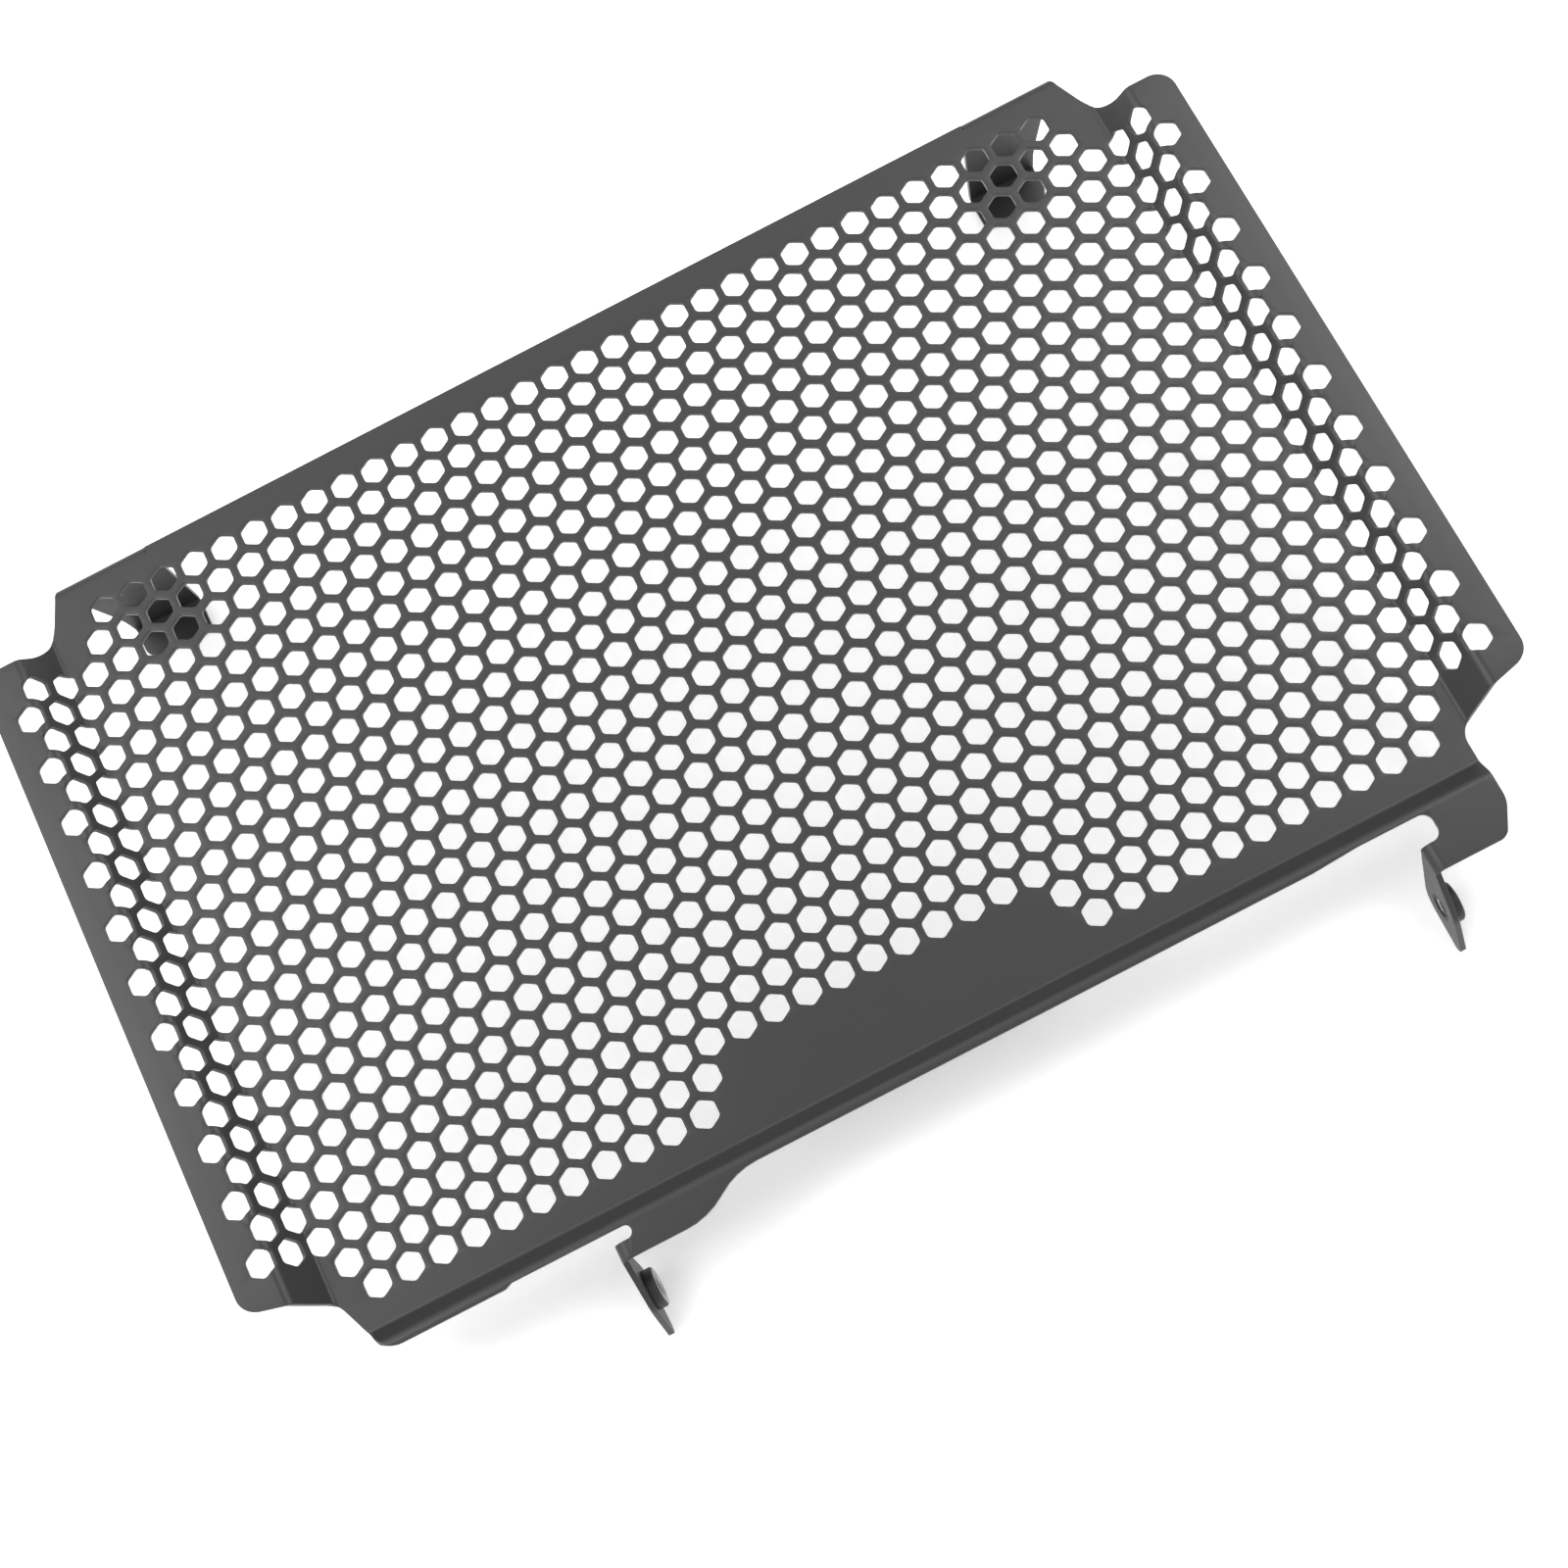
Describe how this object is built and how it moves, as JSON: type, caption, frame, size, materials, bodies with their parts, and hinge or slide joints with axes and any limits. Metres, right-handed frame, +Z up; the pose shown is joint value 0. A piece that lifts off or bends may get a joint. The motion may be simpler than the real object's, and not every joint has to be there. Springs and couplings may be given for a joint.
{
  "type": "motorcycle radiator guard",
  "caption": "Hex-perforated folded sheet guard for a motorcycle radiator, with joggled wings, rear top hooks and folded ears carrying clinch nuts.",
  "frame": {"origin": "centre of the bounding box's lower face, on the surface the guard lies on", "axes": "+X to the right seen from the front, +Y towards the top edge with the hooks, +Z up, out of the front face"},
  "size_m": [0.3498, 0.2546, 0.0531],
  "materials": {
    "powder_coat": "satin black powder coat",
    "nut_steel": "bright zinc plated"
  },
  "bodies": {
    "root": {"guard_sheet": "powder_coat", "clinch_nut_left": "nut_steel", "clinch_nut_right": "nut_steel"}
  },
  "joints": []
}
